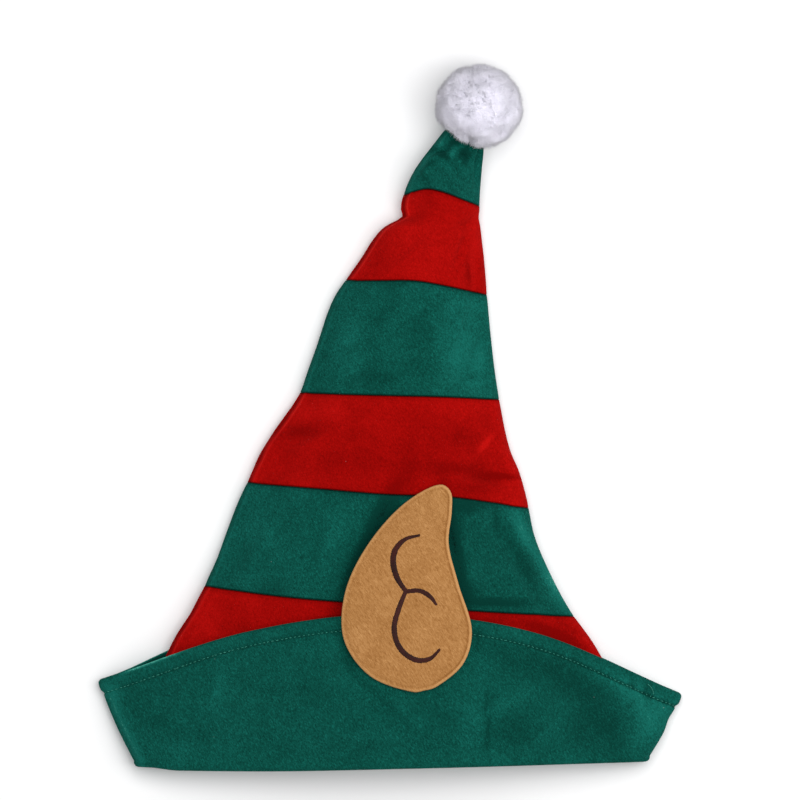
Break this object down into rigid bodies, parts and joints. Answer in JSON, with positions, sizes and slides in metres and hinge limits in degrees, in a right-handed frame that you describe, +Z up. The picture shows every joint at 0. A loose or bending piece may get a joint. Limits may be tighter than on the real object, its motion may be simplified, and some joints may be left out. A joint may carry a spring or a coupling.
{
  "type": "elf hat",
  "caption": "Striped felt elf hat lying on its side, with a slumped pointed crown, a turned-up stitched brim, embroidered felt ears and a pompom at the tip.",
  "frame": {"origin": "on the surface that the hat lies on, under the middle of its outer box", "axes": "+Y from the mouth to the tip, +X to the right seen from above with the tip away from the viewer, +Z up from the surface"},
  "size_m": [0.3278, 0.3976, 0.0487],
  "materials": {
    "felt_green": "brushed felt, dark green",
    "felt_red": "brushed felt, red",
    "felt_tan": "dense felt, tan",
    "thread_brown": "satin stitch, dark brown",
    "plush_white": "fluffy plush, white"
  },
  "bodies": {
    "root": {"brim": "felt_green", "lower_red_band": "felt_red", "lower_green_band": "felt_green", "middle_red_band": "felt_red", "middle_green_band": "felt_green", "upper_red_band": "felt_red", "tip_band": "felt_green", "upper_ear": "felt_tan", "upper_ear_embroidery": "thread_brown", "under_ear": "felt_tan", "under_ear_embroidery": "thread_brown", "pompom": "plush_white"}
  },
  "joints": []
}
